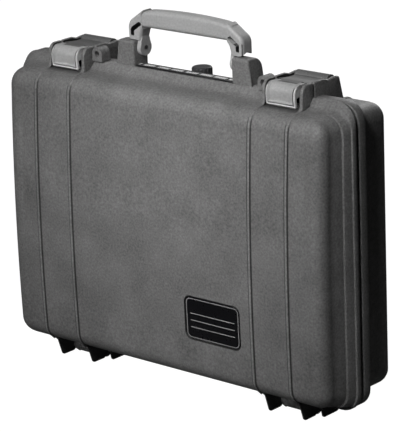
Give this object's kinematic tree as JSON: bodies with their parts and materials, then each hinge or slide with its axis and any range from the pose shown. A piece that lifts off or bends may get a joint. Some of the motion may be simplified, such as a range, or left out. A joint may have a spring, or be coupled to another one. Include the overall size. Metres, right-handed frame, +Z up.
{
  "type": "laptop hard case",
  "caption": "Moulded laptop hard case with hinged lid, double-throw latches, folding handle, pressure valve, seal and foam with a laptop pocket.",
  "frame": {"origin": "middle of the overall box, on the surface that the upright case stands on", "axes": "+X along the case's length, +Y from the lid's front to the base's back, +Z up towards the handle"},
  "size_m": [0.422, 0.112, 0.3753],
  "materials": {
    "shell": "moulded, fine grain, charcoal grey",
    "latch": "moulded, satin, mid grey",
    "handle": "moulded, satin, mid grey",
    "grip": "soft overmould, mid grey",
    "steel_pin": "bright drawn rod",
    "label": "black plate with a thin pale border",
    "strip": "black strip with pale ticks",
    "valve": "black moulding",
    "seal": "soft black rubber",
    "foam": "open-cell foam, dark grey"
  },
  "bodies": {
    "base": {"base_shell": "shell", "hinge_pin_left": "steel_pin", "hinge_pin_right": "steel_pin", "latch_pin_left": "steel_pin", "latch_pin_right": "steel_pin", "handle_pin_left": "steel_pin", "handle_pin_right": "steel_pin", "base_padlock_eyes": "shell", "valve_housing": "valve", "valve_seal": "seal", "valve_nut": "valve", "valve_strip": "strip", "base_foam_pad": "foam", "base_foam_block": "foam"},
    "lid": {"lid_shell": "shell", "lid_gasket": "seal", "nameplate": "label", "lid_padlock_eyes": "shell", "lid_foam": "foam"},
    "handle": {"handle_frame": "handle", "handle_grip": "grip"},
    "left_latch_arm": {"latch_arm_left": "latch", "lever_pin_left": "steel_pin"},
    "right_latch_arm": {"latch_arm_right": "latch", "lever_pin_right": "steel_pin"},
    "left_latch_lever": {"latch_lever_left": "latch"},
    "right_latch_lever": {"latch_lever_right": "latch"},
    "valve": {"valve_knob": "valve"}
  },
  "joints": [
    {"name": "lid_hinge", "type": "hinge", "parent": "base", "child": "lid", "pos_m": [0, -0.009, 0.0115], "axis": [1, 0, 0], "range_deg": [0, 105]},
    {"name": "handle_fold", "type": "hinge", "parent": "base", "child": "handle", "pos_m": [0, 0.0038, 0.3348], "axis": [-1, 0, 0], "range_deg": [0, 85]},
    {"name": "left_latch_swing", "type": "hinge", "parent": "base", "child": "left_latch_arm", "pos_m": [-0.1375, 0.0225, 0.3257], "axis": [-1, 0, 0], "range_deg": [0, 100]},
    {"name": "left_lever_pull", "type": "hinge", "parent": "left_latch_arm", "child": "left_latch_lever", "pos_m": [-0.1375, -0.0142, 0.3262], "axis": [-1, 0, 0], "range_deg": [0, 75]},
    {"name": "right_latch_swing", "type": "hinge", "parent": "base", "child": "right_latch_arm", "pos_m": [0.1375, 0.0225, 0.3257], "axis": [-1, 0, 0], "range_deg": [0, 100]},
    {"name": "right_lever_pull", "type": "hinge", "parent": "right_latch_arm", "child": "right_latch_lever", "pos_m": [0.1375, -0.0142, 0.3262], "axis": [-1, 0, 0], "range_deg": [0, 75]},
    {"name": "valve_turn", "type": "hinge", "parent": "base", "child": "valve", "pos_m": [0, 0.0206, 0.315], "axis": [0, 0, 1], "range_deg": [0, 350]}
  ]
}
